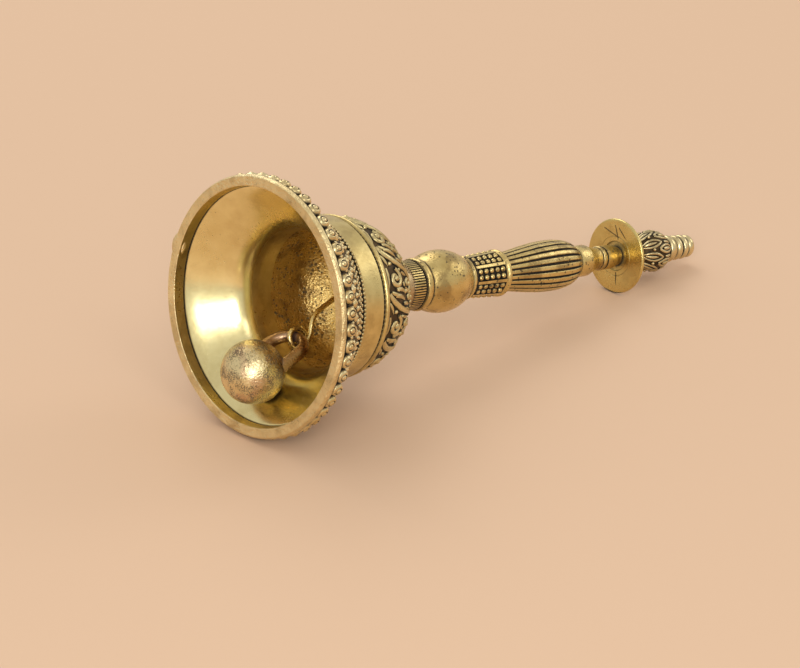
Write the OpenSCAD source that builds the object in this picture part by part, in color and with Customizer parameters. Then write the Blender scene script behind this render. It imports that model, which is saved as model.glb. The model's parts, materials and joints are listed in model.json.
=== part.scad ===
// Brass puja bell lying on its side: cast cup, stacked handle on a tie rod, linked clapper.
// Every piece is drawn with the bell's own axis along Z, mouth at zero, and then laid down.

/* [Cup] */
// Outer radius of the lip
lip_r = 36.3; // [30:0.1:45]
// Width of the lip's flat front face
lip_w = 3.1; // [2:0.1:5]
// Depth of the short straight wall inside the lip
lip_depth = 3.5; // [2:0.1:6]
// Height of the cup from the mouth to the crown's flat top
cup_h = 49; // [42:0.5:60]
// Thickness of metal at the crown
crown_t = 3.7; // [2.5:0.1:6]
// Outer radius of the smooth waist band
waist_r = 22.9; // [20:0.1:27]
// Wall thickness at the waist
waist_wall = 3.2; // [2:0.1:5]

/* [Beads] */
// Number of large beads behind the lip
bead_count = 50; // [30:2:60]
// Radius of a large bead
bead_r = 2.3; // [1.5:0.1:3]
// Distance of the bead row behind the mouth
bead_z = 3.2; // [2.8:0.1:5]
// How far each bead stands proud of the lip
bead_proud = 0.5; // [0.2:0.1:1]

/* [Handle] */
// Radius of the tie rod that holds the stack together
rod_r = 2.0; // [1.5:0.1:2.3]
// Length of the ribbed neck collar with its ring
collar_len = 13.0; // [8:0.5:18]
// Largest radius of the neck collar
collar_r = 7.6; // [6:0.1:9]
// Length of the round bulb
bulb_len = 16.2; // [12:0.2:22]
// Largest radius of the bulb
bulb_r = 9.0; // [8:0.1:11]
// Length of the beaded sleeve
sleeve_len = 15.2; // [10:0.2:20]
// Radius of the sleeve's end ring
sleeve_r = 6.8; // [6:0.1:8]
// Length of the fluted grip
grip_len = 30.6; // [24:0.2:40]
// Largest radius of the fluted grip
grip_r = 7.45; // [6.5:0.05:9]
// Number of flutes round the grip
flute_count = 18; // [12:1:24]
// Length of the stem from the grip to the disc's face
stem_len = 18.6; // [14:0.1:26]
// Radius of the stem's round neck
stem_r = 3.4; // [3:0.1:4.5]

/* [Disc] */
// Radius of the disc
disc_r = 11.1; // [9:0.1:14]
// Thickness of the disc
disc_t = 1.1; // [0.8:0.1:2]
// Radius of the sunk ring round the stem
disc_recess_r = 4.5; // [4:0.1:6]

/* [Finial] */
// Length of the bud with its neck, from the disc to its top ring
bud_len = 20.0; // [16:0.2:26]
// Largest radius of the bud
bud_r = 6.4; // [5:0.1:8]
// Length of the stepped tip
tip_len = 10.8; // [8.5:0.1:14]
// Largest radius of the stepped tip
tip_r = 4.6; // [4:0.1:6]

/* [Clapper] */
// Radius of the clapper ball
ball_r = 9.0; // [7:0.1:10]
// Radius of the bars that the hook hangs on
bar_r = 1.3; // [1:0.1:1.6]
// Radius of the hook's wire
wire_r = 0.8; // [0.6:0.05:0.9]
// Distance from the crown's eye to the loop's bar
hook_len = 23; // [18:0.5:28]
// Distance from the loop's bar to the ball's centre
loop_len = 17.2; // [15:0.1:22]
// Half distance between the loop's two legs
loop_half_w = 5.6; // [5:0.1:6.5]
// Radius of the loop's legs
leg_r = 1.9; // [1.5:0.1:2.1]
// Distance of the eye's bar below the crown's inner face
eye_drop = 6.8; // [6:0.1:9]

/* [Fits] */
// Radial clearance of a bore round the tie rod
rod_gap = 0.1; // [0.05:0.05:0.2]
// Radial clearance of the wire's curls round the bars
curl_gap = 0.3; // [0.2:0.05:0.4]
// Gap left between the resting ball and the cup's wall
rest_gap = 0.8; // [0.3:0.05:1]

/* [Hidden] */
$fn = 96;
small_fn = 48;

// Stations along the bell's axis, each counted from the one before it
collar_z = cup_h;
bulb_z = collar_z + collar_len;
sleeve_z = bulb_z + bulb_len;
grip_z = sleeve_z + sleeve_len;
stem_z = grip_z + grip_len;
disc_z = stem_z + stem_len;
bud_z = disc_z + disc_t;
tip_z = bud_z + bud_len;
bell_len = tip_z + tip_len;

// Cup: the flare inside is a cone that runs from the lip's step to the waist
band_scale = cup_h / 49;
lip_bevel = 0.5;
lip_back = 1.6;
step_ledge = 0.3;
mouth_r = lip_r - lip_w;
flare_z = [lip_depth, 13 * band_scale];
waist_inner_r = waist_r - waist_wall;
throat_r = waist_inner_r + 3.2;
flare_r = [mouth_r - 2 * step_ledge, throat_r];
waist_z = [20.4, 27.6] * band_scale;
rope_r = waist_r + 1.5;
ridge_z = [28.7, 29.9] * band_scale;
shoulder_r = waist_r - 0.4;
shoulder_h = (cup_h - ridge_z[1]) * 1.04;
dome_in_z = cup_h - crown_t;
dome_base_z = cup_h - 13 * band_scale;
crown_flat_r = collar_r + 1.2;

// Beads stand in a ring, half a pitch off the lowest line, so the bell rests on two of them
bead_ring_r = lip_r + bead_proud - bead_r;
bead_step = 360 / bead_count;
bead_low = bead_ring_r * cos(bead_step / 2);

// The bell lies on its beads and on the disc's edge: this is the angle that it comes to
disc_bevel = disc_t * 0.25;
disc_edge_z = bud_z - disc_bevel;
edge_run = disc_edge_z - bead_z;
edge_drop = bead_low - disc_r;
tilt = atan2(edge_drop, edge_run) + asin(bead_r / norm([edge_run, edge_drop]));
mouth_h = bead_z * sin(tilt) + bead_low * cos(tilt) + bead_r;

// Clapper: hook and loop hang in one line, at the angle where the ball meets the flare
eye_z = dome_in_z - eye_drop;
swing_len = hook_len + loop_len;
flare_run = [flare_z[1] - flare_z[0], flare_r[1] - flare_r[0]];
flare_in = [flare_run[1], -flare_run[0]] / norm(flare_run);
eye_clear = (eye_z - flare_z[0]) * flare_in[0] - flare_r[0] * flare_in[1];
ball_reach = (ball_r + rest_gap - eye_clear) / swing_len;
rest_angle = atan2(flare_in[1], -flare_in[0]) + acos(ball_reach);
curl_r = bar_r + curl_gap + wire_r;
hook_cross = asin(2 * curl_r / hook_len);
shank_len = sqrt(hook_len * hook_len - 4 * curl_r * curl_r);
loop_corner = leg_r * 1.7;
boss_r = 4.6;
eye_half_w = 2.4;
eye_leg_r = 1.1;

// The origin is under the middle of the bell's box, whose front is the rim or the resting ball
face_r = lip_r - lip_bevel;
tip_end_r = 2.6;
rim_front_x = -face_r * sin(tilt);
ball_pos = [eye_z - swing_len * cos(rest_angle), -swing_len * sin(rest_angle)];
ball_front_x = ball_pos * [cos(tilt), sin(tilt)] - ball_r;
back_x = bell_len * cos(tilt) + tip_end_r * sin(tilt);
mouth_x = -(min(rim_front_x, ball_front_x) + back_x) / 2;

// Points of an arc in the half plane [radius, height]
function arc(centre, size, from, to, steps) =
    [for (i = [0:steps]) let (a = from + (to - from) * i / steps)
        [centre[0] + size[0] * cos(a), centre[1] + size[1] * sin(a)]];

// Radius of the grip at a share of its length: it swells slowly and closes quickly
grip_start_r = sleeve_r - 1.4;
grip_end_r = stem_r + 0.8;
grip_peak = 0.68;
grip_steps = 14;
function grip_at(t) = t < grip_peak
    ? grip_start_r + (grip_r - grip_start_r) * sin(90 * t / grip_peak)
    : grip_end_r + (grip_r - grip_end_r) * sqrt(max(0, 1 - pow((t - grip_peak) / (1 - grip_peak), 2)));
flute_depth = 0.7;
rib_depth = 0.35;

module turned(outline) {
    rotate_extrude() polygon(outline);
}

// A turned piece of the handle, bored for the tie rod
module bored(outline, z) {
    difference() {
        turned(outline);
        translate([0, 0, z - 1]) cylinder(r = rod_r + rod_gap, h = 60);
    }
}

// Wedges round the axis that cut grooves between ribs
module groove_wedges(count, z, h, reach, share) {
    half = 180 / count * share;
    translate([0, 0, z]) linear_extrude(h)
        for (i = [0:count - 1]) rotate(360 / count * i)
            polygon([[0, 0], reach * [cos(half), -sin(half)], reach * [cos(half), sin(half)]]);
}

// Lays an upright piece down: the axis points along +X and dips towards the finial
module lying() {
    translate([mouth_x, 0, mouth_h]) rotate([0, tilt, 0]) rotate([90, 0, 90]) children();
}

// Puts a clapper piece, drawn hanging straight down from the origin, at its resting angle
module hanging() {
    lying() translate([0, 0, eye_z]) rotate([-rest_angle, 0, 0]) children();
}

// Points along a straight line that is pulled towards the axis in its middle
function sagged(from, to, sag, steps) =
    [for (i = [0:steps]) let (t = i / steps)
        from * (1 - t) + to * t - [4 * sag * t * (1 - t), 0]];

flare_angle = atan2(-flare_run[1], flare_run[0]);
throat_round = (throat_r - waist_inner_r) / (1 - cos(flare_angle));
cup_outside = concat(
    [[0, 0], [0, cup_h], [crown_flat_r, cup_h]],
    arc([0, ridge_z[1]], [shoulder_r, shoulder_h], acos(crown_flat_r / shoulder_r), 0, 10),
    [[waist_r, ridge_z[1]], [waist_r, ridge_z[0]], [waist_r - 0.5, waist_z[1] + 0.6],
     [waist_r, waist_z[1]], [waist_r, waist_z[0]], [rope_r, waist_z[0] - 0.6]],
    sagged([rope_r, waist_z[0] - 1.8], [bead_ring_r - 0.2, bead_z + 1.8], 1, 8),
    [[bead_ring_r - 0.2, lip_back], [lip_r, lip_back - 0.3], [lip_r, lip_bevel], [face_r, 0]]);
cup_inside = concat(
    [[0, -1], [mouth_r, -1], [mouth_r, 0], [mouth_r - step_ledge, lip_depth - 0.2],
     [mouth_r + 0.1, lip_depth], [flare_r[0], flare_z[0]]],
    arc([waist_inner_r + throat_round, flare_z[1] + throat_round * sin(flare_angle)],
        [throat_round, throat_round], 180 + flare_angle, 180, 6),
    arc([0, dome_base_z], [waist_inner_r, dome_in_z - dome_base_z], 0, 90, 10));

// Cast cup with its lip, bead row, waist band, carved shoulder's body and crown
module bell_cup() {
    color("goldenrod") lying() difference() {
        union() {
            turned(cup_outside);
            for (i = [0:bead_count - 1]) rotate(270 + bead_step * (i + 0.5))
                translate([bead_ring_r, 0, bead_z]) sphere(r = bead_r, $fn = small_fn);
        }
        turned(cup_inside);
        translate([0, 0, dome_in_z - 1]) cylinder(r = rod_r + rod_gap, h = crown_t + 2);
        translate([0, 0, dome_in_z - 2]) cylinder(r = boss_r + rod_gap, h = 2);
    }
}

// Cast staple inside the crown: a boss tapped for the rod, two legs and the bar of the eye
boss_h = eye_drop - curl_r - wire_r - 0.6;
module crown_eye() {
    color("peru") lying() difference() {
        union() {
            translate([0, 0, dome_in_z - boss_h]) cylinder(r = boss_r, h = boss_h);
            translate([-eye_half_w - eye_leg_r, 0, eye_z]) rotate([0, 90, 0])
                cylinder(r = bar_r, h = 2 * (eye_half_w + eye_leg_r));
            for (side = [-1, 1]) translate([side * (eye_half_w + 0.2), 0, eye_z])
                cylinder(r = eye_leg_r, h = eye_drop - boss_h / 2);
        }
        translate([0, 0, dome_in_z - rod_engage]) cylinder(r = rod_r, h = rod_engage + 1);
    }
}

// Rod from the staple's boss to the finial's tip: it clamps the whole stack
rod_engage = boss_h * 0.7;
rod_len = tip_z + tip_len / 2 - dome_in_z + rod_engage;
module tie_rod() {
    color("darkgoldenrod") lying() translate([0, 0, dome_in_z - rod_engage])
        cylinder(r = rod_r, h = rod_len);
}

// Ribbed collar that stands on the crown and ends in a smooth ring
module neck_collar() {
    foot_r = crown_flat_r - 0.3;
    neck_r = collar_r - 0.7;
    rib_z = [collar_z + 2.6, collar_z + collar_len - 3.6];
    color("goldenrod") lying() difference() {
        bored([[0, collar_z], [foot_r, collar_z], [foot_r, collar_z + 1.2], [neck_r, collar_z + 2.2],
               [neck_r, rib_z[1] + 0.2], [collar_r, bulb_z - 2.6], [collar_r, bulb_z - 0.6],
               [collar_r - 0.5, bulb_z], [0, bulb_z]], collar_z);
        difference() {
            groove_wedges(40, rib_z[0], rib_z[1] - rib_z[0], collar_r + 1, 0.4);
            translate([0, 0, rib_z[0] - 1]) cylinder(r = neck_r - rib_depth, h = collar_len);
        }
    }
}

// Smooth barrel-shaped bulb
module handle_bulb() {
    curve = bulb_len * 0.865;
    middle = bulb_len * 0.47;
    color("goldenrod") lying() bored(concat([[0, bulb_z]],
        arc([bulb_r - curve, bulb_z + middle], [curve, curve], -asin(middle / curve),
            asin((bulb_len - middle) / curve), 12),
        [[0, sleeve_z]]), bulb_z);
}

// Sleeve with a ring at each end and long ribs between sunk panels
module bead_sleeve() {
    thin_r = sleeve_r - 0.9;
    panel_z = [sleeve_z + 2, grip_z - 2.2];
    color("goldenrod") lying() difference() {
        bored([[0, sleeve_z], [thin_r + 0.4, sleeve_z], [thin_r + 0.5, sleeve_z + 1.2],
               [thin_r, sleeve_z + 1.5], [sleeve_r - 0.2, grip_z - 1.8], [sleeve_r, grip_z - 1.6],
               [sleeve_r, grip_z - 0.2], [sleeve_r - 0.3, grip_z], [0, grip_z]], sleeve_z);
        difference() {
            groove_wedges(8, panel_z[0], panel_z[1] - panel_z[0], sleeve_r + 1, 0.8);
            translate([0, 0, panel_z[0] - 1])
                cylinder(r1 = thin_r - 0.4, r2 = sleeve_r - 0.8, h = sleeve_len);
        }
    }
}

// Long grip that swells towards the finial, with flutes from end to end
module fluted_grip() {
    function spindle(inset) = [for (i = [0:grip_steps]) let (t = i / grip_steps)
        [grip_at(t) - inset, grip_z + grip_len * t]];
    color("goldenrod") lying() difference() {
        bored(concat([[0, grip_z]], spindle(0), [[0, stem_z]]), grip_z);
        difference() {
            groove_wedges(flute_count, grip_z + 0.8, grip_len - 1.8, grip_r + 1, 0.3);
            turned(concat([[0, grip_z]], spindle(flute_depth), [[0, stem_z]]));
        }
    }
}

// Stem with a tapered collar, a thin neck and a ring, and a spigot that enters the disc
module handle_stem() {
    foot_r = grip_end_r + 0.4;
    disc_seat_z = disc_z + disc_recess;
    color("goldenrod") lying() bored([[0, stem_z], [foot_r - 0.3, stem_z], [foot_r, stem_z + 0.8],
        [foot_r - 0.1, stem_z + stem_len * 0.3], [stem_r, stem_z + stem_len * 0.46],
        [stem_r - 0.1, stem_z + stem_len * 0.55], [stem_r + 0.3, stem_z + stem_len * 0.57],
        [stem_r + 0.3, stem_z + stem_len * 0.64], [stem_r, stem_z + stem_len * 0.66],
        [stem_r + 0.1, disc_z - 2], [spigot_r, disc_z - 2], [spigot_r, disc_seat_z],
        [0, disc_seat_z]], stem_z);
}

// Flat disc with a sunk ring round the stem and a bevelled edge
disc_recess = 0.5;
spigot_r = rod_r + 0.8;
module disc_plate() {
    color("gold") lying() bored([[0, disc_z + disc_recess], [disc_recess_r, disc_z + disc_recess],
        [disc_recess_r, disc_z], [disc_r - disc_bevel, disc_z], [disc_r, disc_z + disc_bevel],
        [disc_r, bud_z - disc_bevel], [disc_r - disc_bevel, bud_z], [0, bud_z]], disc_z);
}

// Bud of the finial on its own short neck
module finial_bud() {
    neck_r = rod_r + 0.8;
    swell = bud_r - 2.2;
    widest_z = bud_z + bud_len * 0.82;
    color("goldenrod") lying() bored(concat(
        [[0, bud_z], [neck_r + 0.9, bud_z], [neck_r + 0.9, bud_z + 1.2], [neck_r, bud_z + 1.8],
         [neck_r, bud_z + bud_len * 0.37]],
        arc([2.2, widest_z], [swell, bud_len * 0.43], -75, 0, 6),
        arc([2.2, widest_z], [swell, bud_len * 0.18 / sin(57)], 10, 57, 4),
        [[0, tip_z]]), bud_z);
}

// Stepped tip, tapped so that it screws onto the rod
module finial_tip() {
    step_r = tip_r - 0.9;
    step = tip_len / 10.8;
    color("goldenrod") lying() difference() {
        translate([0, 0, tip_z]) turned([[0, 0], [tip_r - 0.3, 0], [tip_r, 0.8 * step],
            [tip_r - 0.3, 2.4 * step], [step_r - 0.4, 3 * step], [step_r - 0.4, 3.7 * step],
            [step_r, 4 * step], [step_r, 5.1 * step], [step_r - 0.4, 5.5 * step],
            [step_r - 0.4, 5.9 * step], [step_r, 6.3 * step], [step_r, 7.2 * step],
            [step_r - 0.5, 7.6 * step], [step_r - 0.5, 8 * step], [step_r - 0.3, 8.3 * step],
            [step_r - 0.4, 9.6 * step], [tip_end_r, tip_len], [0, tip_len]]);
        translate([0, 0, tip_z - 1]) cylinder(r = rod_r, h = tip_len / 2 + 1);
    }
}

// One curl of the hook's wire round a bar, from a start angle in the plane of the swing
module curl(start) {
    rotate([90, 0, 90]) rotate(start) rotate_extrude(angle = 360 - curl_open) translate([curl_r, 0])
        circle(r = wire_r, $fn = small_fn);
}

// S-shaped wire hook: a curl round the eye's bar, a straight shank and a curl round the loop's bar
curl_open = 72;
shank_r = wire_r * 0.93;
shank_root = 0.1;
module hanger_hook() {
    color("peru") hanging() {
        curl(-hook_cross);
        translate([0, 0, -hook_len]) curl(180 - hook_cross);
        translate([0, curl_r * cos(hook_cross), -curl_r * sin(hook_cross)])
            rotate([180 - hook_cross, 0, 0]) translate([0, 0, -shank_root])
                cylinder(r = shank_r, h = shank_len + 2 * shank_root, $fn = small_fn);
    }
}

// Legs of the loop, drawn down into the ball
module loop_legs() {
    leg_end = swing_len - ball_r * 0.6;
    for (side = [-1, 1]) translate([side * loop_half_w, 0, -leg_end])
        cylinder(r = leg_r, h = leg_end - hook_len - loop_corner);
}

// Loop cast on the ball: a straight bar, two round corners and two legs
module clapper_loop() {
    color("sienna") hanging() {
        translate([-loop_half_w + loop_corner, 0, -hook_len]) rotate([0, 90, 0])
            cylinder(r = bar_r, h = 2 * (loop_half_w - loop_corner));
        for (side = [0, 180]) rotate(side)
            translate([loop_half_w - loop_corner, 0, -hook_len - loop_corner]) rotate([90, 0, 0])
                rotate_extrude(angle = 90) translate([loop_corner, 0]) circle(r = leg_r);
        loop_legs();
    }
}

// Solid ball with sockets for the loop's legs
module clapper_ball() {
    color("tan") hanging() difference() {
        translate([0, 0, -swing_len]) sphere(r = ball_r);
        loop_legs();
    }
}

bell_cup();
crown_eye();
tie_rod();
neck_collar();
handle_bulb();
bead_sleeve();
fluted_grip();
handle_stem();
disc_plate();
finial_bud();
finial_tip();
hanger_hook();
clapper_loop();
clapper_ball();
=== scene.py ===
# %% [markdown]
# A cast brass prayer bell lies on its side. Its exact solids come from the imported part, which is
# loaded first and never changed. This lesson puts the looks around it: the beads, the carving, the
# flutes and the old brass.

import json
import math

import bpy
from mathutils import Matrix, Vector


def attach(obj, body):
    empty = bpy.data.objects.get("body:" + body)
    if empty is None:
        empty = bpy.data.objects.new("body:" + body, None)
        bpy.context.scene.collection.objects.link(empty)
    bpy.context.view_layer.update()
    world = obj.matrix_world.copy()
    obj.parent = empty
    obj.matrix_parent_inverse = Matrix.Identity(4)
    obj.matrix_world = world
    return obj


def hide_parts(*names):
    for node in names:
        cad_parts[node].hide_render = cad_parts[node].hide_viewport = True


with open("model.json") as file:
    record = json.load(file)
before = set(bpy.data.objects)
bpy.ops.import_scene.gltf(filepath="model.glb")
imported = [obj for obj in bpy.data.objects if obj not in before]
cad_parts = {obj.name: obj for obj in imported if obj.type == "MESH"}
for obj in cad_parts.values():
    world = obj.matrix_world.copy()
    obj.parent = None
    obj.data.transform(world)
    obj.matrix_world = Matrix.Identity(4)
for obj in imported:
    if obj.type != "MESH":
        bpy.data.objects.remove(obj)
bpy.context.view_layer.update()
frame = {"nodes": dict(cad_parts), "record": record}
record = frame["record"]
MM = 0.001

# %% [markdown]
# A turner works along one axis, so every piece is made upright first: the mouth at height zero and
# the finial at the top. One matrix then lays a piece down. The bell's tilt and the middle of its
# mouth are read from the record: the rim's outward direction gives the axis, and the point where the
# axis meets the rim's plane gives the mouth. Blender's transform_apply puts the place in the mesh.

# %% Find the bell's own axis
rim = record["mounts"][0]
joint_pos = {j["name"]: Vector(j["pos_m"]) for j in record["behaviour"]["joints"]}
along = -Vector(rim["axis"]).normalized()
across = Vector((0, 1, 0))
upward = along.cross(across)
eye_pos = joint_pos["hanger_swing"]
bar_pos = joint_pos["clapper_swing"]
mouth_pos = eye_pos + along * (Vector(rim["pos_m"]) - eye_pos).dot(along)
LAY = Matrix.Translation(mouth_pos) @ Matrix((across, upward, along)).transposed().to_4x4()
eye_z = (eye_pos - mouth_pos).dot(along) / MM
swing = (bar_pos - eye_pos).normalized()
hang_angle = math.atan2(-swing.dot(upward), -swing.dot(along))
HANG = LAY @ Matrix.Translation((0, 0, eye_z * MM)) @ Matrix.Rotation(-hang_angle, 4, "X")
hook_len = (bar_pos - eye_pos).length / MM
print("tilt", round(math.degrees(math.asin(-along.z)), 2), "eye", round(eye_z, 2), "hook", round(hook_len, 2))

# %% [markdown]
# The camera comes first, because everything after it is judged through it. A long lens from a metre
# away shows the bell as a product table does, from the left of the mouth and a little above.

# %% Set the camera
CAM_AZIMUTH, CAM_ELEVATION = math.radians(-42.34), math.radians(24.56)
CAM_DISTANCE, CAM_LENS = 1.1029, 180
AIM_RIGHT, AIM_UP = 0.0400, 0.0262
back = Vector((math.sin(CAM_AZIMUTH) * math.cos(CAM_ELEVATION),
               -math.cos(CAM_AZIMUTH) * math.cos(CAM_ELEVATION), math.sin(CAM_ELEVATION)))
right = Vector((math.cos(CAM_AZIMUTH), math.sin(CAM_AZIMUTH), 0))
upright = back.cross(right)
aim = Vector((mouth_pos.x, 0, 0)) + right * AIM_RIGHT + upright * AIM_UP
bpy.ops.object.camera_add(location=aim + back * CAM_DISTANCE)
camera = bpy.context.object
camera.rotation_euler = Matrix((right, upright, back)).transposed().to_euler()
camera.data.lens = CAM_LENS
camera.data.clip_start = 0.05
bpy.context.scene.camera = camera
print("camera", [round(v, 3) for v in camera.location])

# %% [markdown]
# The table is one pale sheet that runs far past the picture. The light is plain studio light: one
# large softbox beside and above the camera, which the polished inside of the mouth and the clapper
# both mirror, a smaller one high in front, a soft one behind for the rim, a weak one on the right,
# and a pale room around it all.

# %% Lay the table and hang the lights
def plain_material(name, colour, roughness):
    """A flat paint with no pattern."""
    made = bpy.data.materials.new(name)
    made.use_nodes = True
    shader = made.node_tree.nodes["Principled BSDF"]
    shader.inputs["Base Color"].default_value = (*colour, 1)
    shader.inputs["Roughness"].default_value = roughness
    return made


def soft_light(name, place, size, watts, colour):
    """A square area light that looks at the bell."""
    place = Vector(place)
    bpy.ops.object.light_add(type="AREA", location=place)
    light = bpy.context.object
    light.name = name
    light.data.size = size
    light.data.energy = watts
    light.data.color = colour
    light.rotation_euler = (place - Vector((0, 0, 0.03))).to_track_quat("Z", "Y").to_euler()


TABLE_SIZE = 12
bpy.ops.mesh.primitive_plane_add(size=TABLE_SIZE, location=(0, 0, 0))
table = bpy.context.object
table.name = "table_top"
table.data.materials.append(plain_material("peach_paper", (0.73, 0.50, 0.335), 0.8))

soft_light("camera_softbox", (-0.90, -0.80, 0.60), 0.5, 6.2, (1, 0.99, 0.96))
soft_light("front_key", (-0.25, -0.78, 0.95), 0.4, 1.0, (1, 0.98, 0.95))
soft_light("back_softbox", (0.35, 0.95, 1.0), 0.8, 4.5, (1, 0.98, 0.95))
soft_light("right_fill", (1.1, -0.35, 0.7), 0.6, 1.6, (1, 0.98, 0.95))
world = bpy.data.worlds.new("pale_room")
bpy.context.scene.world = world
world.use_nodes = True
world.node_tree.nodes["Background"].inputs["Color"].default_value = (1, 0.97, 0.92, 1)
world.node_tree.nodes["Background"].inputs["Strength"].default_value = 0.68
bpy.context.scene.view_settings.view_transform = "Standard"

# %% [markdown]
# Old brass is one metal with several faces: polished where hands and cloths rub, satin where they
# don't, and black-brown in every hollow that no cloth reaches. One recipe makes them all, from the
# parts in this cell. The dark of the hollows comes from ambient occlusion over about a millimetre, so
# it is dirt and painted shade at once, and broad and fine noise break its edge and the tone of the
# metal. Small dark pits are Voronoi cells.
# All patterns read Object coordinates in metres, so they have the same real size on every piece.

# %% Make the parts of the brass recipe
def add_node(tree, kind, x, y, **values):
    """A node with some of its sockets and settings filled in."""
    made = tree.nodes.new(kind)
    made.location = (x, y)
    for key, value in values.items():
        if key in made.inputs:
            made.inputs[key].default_value = value
        else:
            setattr(made, key, value)
    return made


def noise(tree, coords, scale, detail, y):
    """Noise with that many lumps in a metre."""
    made = add_node(tree, "ShaderNodeTexNoise", -900, y, Scale=scale, Detail=detail)
    tree.links.new(coords, made.inputs["Vector"])
    return made.outputs["Fac"]


def between(tree, value, low, high, to_low, to_high, x, y):
    """Spreads a value between two limits, and holds it there."""
    made = add_node(tree, "ShaderNodeMapRange", x, y)
    made.inputs["From Min"].default_value = low
    made.inputs["From Max"].default_value = high
    made.inputs["To Min"].default_value = to_low
    made.inputs["To Max"].default_value = to_high
    tree.links.new(value, made.inputs["Value"])
    return made.outputs["Result"]


def sum_up(tree, kind, a, b, x, y, clamp=False):
    """One step of arithmetic on two sockets, or on a socket and a number."""
    made = add_node(tree, "ShaderNodeMath", x, y, operation=kind, use_clamp=clamp)
    for socket, value in zip(made.inputs, (a, b)):
        if isinstance(value, (int, float)):
            socket.default_value = value
        else:
            tree.links.new(value, socket)
    return made.outputs["Value"]


def blend_colours(tree, share, a, b, x, y):
    """Mixes two colours, each a socket or a plain colour."""
    made = add_node(tree, "ShaderNodeMix", x, y, data_type="RGBA")
    tree.links.new(share, made.inputs[0])
    for socket, value in ((made.inputs[6], a), (made.inputs[7], b)):
        if isinstance(value, tuple):
            socket.default_value = (*value, 1)
        else:
            tree.links.new(value, socket)
    return made.outputs[2]


def pits_in(tree, coords, blotch, amount, scale):
    """Small pits, wider where the blotches are light: 1 in a pit and 0 beside it."""
    cell = add_node(tree, "ShaderNodeTexVoronoi", -900, -250, Scale=scale)
    tree.links.new(coords, cell.inputs["Vector"])
    light = sum_up(tree, "SUBTRACT", blotch, 0.32, -700, -250)
    size = sum_up(tree, "MULTIPLY", light, 1.6 * amount, -600, -250)
    return sum_up(tree, "LESS_THAN", cell.outputs["Distance"], size, -500, -250)


def soot_and_shade_in(tree, blotch, pit, reach, soot_shade_from, soot_shade_to):
    """How dark the dirt and painted shade make a place: 1 in deep hollows, a little less in pits and 0 on
    open metal.
    """
    # Ambient occlusion darkens wherever light is hidden, so this mask paints shade as well as dirt.
    hollow = add_node(tree, "ShaderNodeAmbientOcclusion", -900, 750, samples=12, Distance=reach * MM)
    ragged = sum_up(tree, "MULTIPLY", sum_up(tree, "SUBTRACT", blotch, 0.5, -700, 650), 0.5, -600, 650)
    open_sky = sum_up(tree, "ADD", hollow.outputs["AO"], ragged, -500, 750)
    soot_and_shade = between(tree, open_sky, soot_shade_from, soot_shade_to, 0, 1, -350, 750)
    return sum_up(tree, "MAXIMUM", soot_and_shade, sum_up(tree, "MULTIPLY", pit, 0.75, -350, -250), -200, 600)


def clean_metal(tree, coords, broad, blotch, bright, deep, stain, stain_colour):
    """The colour before the dirt and painted shade of the hollows: two tones in soft clouds, with stained
    patches.
    """
    tone = sum_up(tree, "MULTIPLY", between(tree, broad, 0.35, 0.65, 0, 1, -700, 500), 0.5, -550, 500)
    spots = sum_up(tree, "MULTIPLY", between(tree, blotch, 0.3, 0.7, 0, 1, -700, 350), 0.5, -550, 350)
    metal = blend_colours(tree, sum_up(tree, "ADD", tone, spots, -400, 450), bright, deep, -250, 400)
    patch = between(tree, noise(tree, coords, 170, 7, 900), 0.52, 0.60, 0, stain, -700, 900)
    return blend_colours(tree, patch, metal, stain_colour, -150, 500)


def satin_in(tree, fine, broad, soot_and_shade, rough, rough_spread):
    """Roughness that wanders a little on clean metal and rises in the dark hollows of dirt and painted shade.
    """
    dirt_rough = 0.7
    satin = between(tree, sum_up(tree, "ADD", fine, broad, -400, 50), 0.7, 1.3, rough - rough_spread / 2,
                    rough + rough_spread / 2, -250, 50)
    dull = sum_up(tree, "MULTIPLY", soot_and_shade, dirt_rough - rough, -150, -50)
    return sum_up(tree, "ADD", satin, dull, -50, 0, True)


def cast_grain(tree, fine, blotch, pit, grain):
    """The grain of the casting, with its pits sunk in."""
    height = sum_up(tree, "ADD", sum_up(tree, "MULTIPLY", fine, 0.5, -400, -400),
                    sum_up(tree, "MULTIPLY", blotch, 0.5, -400, -500), -300, -450)
    height = sum_up(tree, "SUBTRACT", height, sum_up(tree, "MULTIPLY", pit, 0.6, -300, -550), -200, -450)
    bump = add_node(tree, "ShaderNodeBump", -50, -250, Strength=1.0, Distance=grain * MM)
    tree.links.new(height, bump.inputs["Height"])
    return bump.outputs["Normal"]


# %% [markdown]
# The recipe itself only joins those parts. Its measures are the reach of the hollows and the height
# of the grain, both in millimetres, and the number of noise lumps or pits in a metre. A painter's
# shortcut would be one dirty colour for the whole bell, but then a hollow and a high look alike.

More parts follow.
